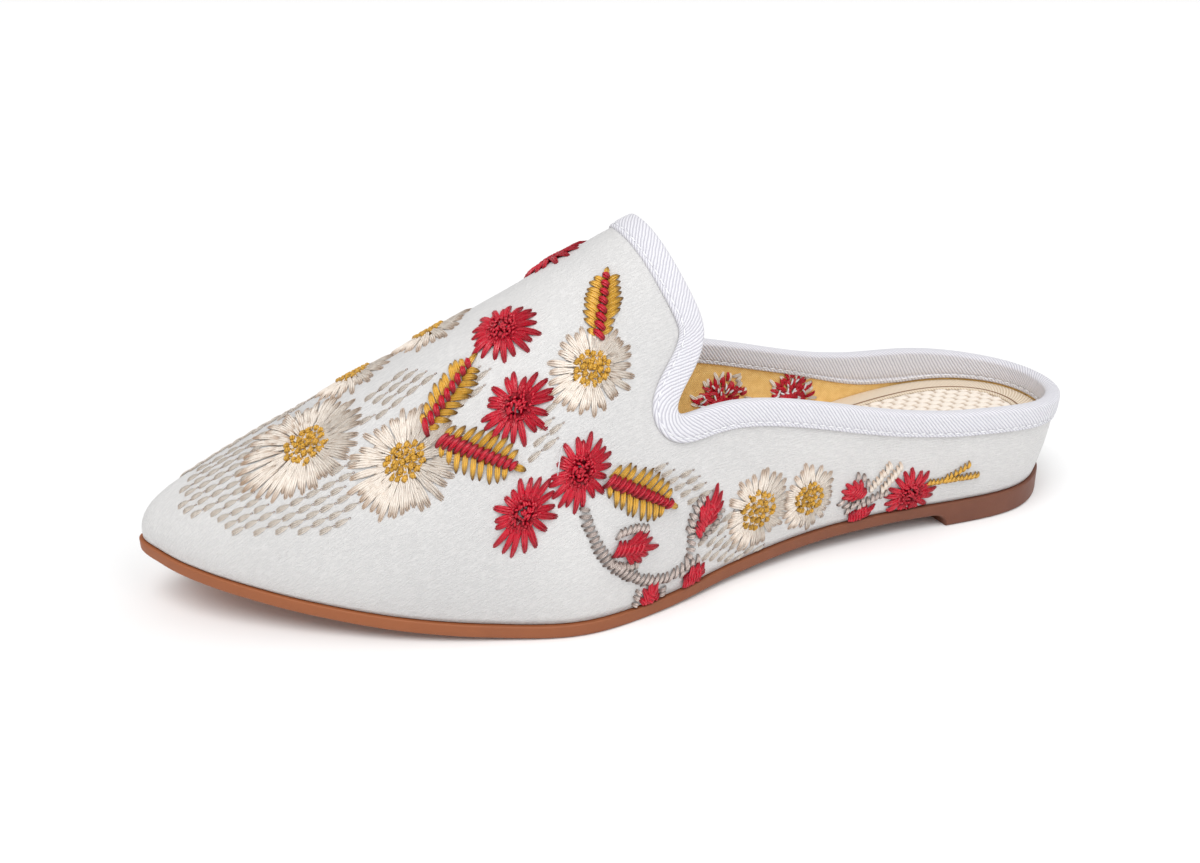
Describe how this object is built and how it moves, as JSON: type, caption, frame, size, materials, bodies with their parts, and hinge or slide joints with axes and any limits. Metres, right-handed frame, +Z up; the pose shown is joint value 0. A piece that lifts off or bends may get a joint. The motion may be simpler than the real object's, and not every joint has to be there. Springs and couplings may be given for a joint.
{
  "type": "babouche slipper",
  "caption": "Backless pointed slipper with a low heel, an embroidered cloth upper open at the throat, a bound topline and a wedge insole.",
  "frame": {"origin": "middle of the slipper's box, on the ground", "axes": "-X towards the toe, -Y towards the outer side of the left foot, +Z up"},
  "size_m": [0.259, 0.0818, 0.0905],
  "materials": {
    "outsole_rubber": "smooth tan rubber, satin sheen, darker in the feather line",
    "upper_satin": "off-white slubbed satin with raised floral thread embroidery, mustard twill lining inside",
    "binding_tape": "white twill tape folded over the edge, one row of stitches near its lower edge",
    "insole_weave": "cream basket weave, matt",
    "border_cloth": "beige cloth strip with a stitched inner edge"
  },
  "bodies": {
    "root": {"outsole": "outsole_rubber", "upper": "upper_satin", "binding": "binding_tape", "insole": "insole_weave", "insole_border": "border_cloth"}
  },
  "joints": []
}
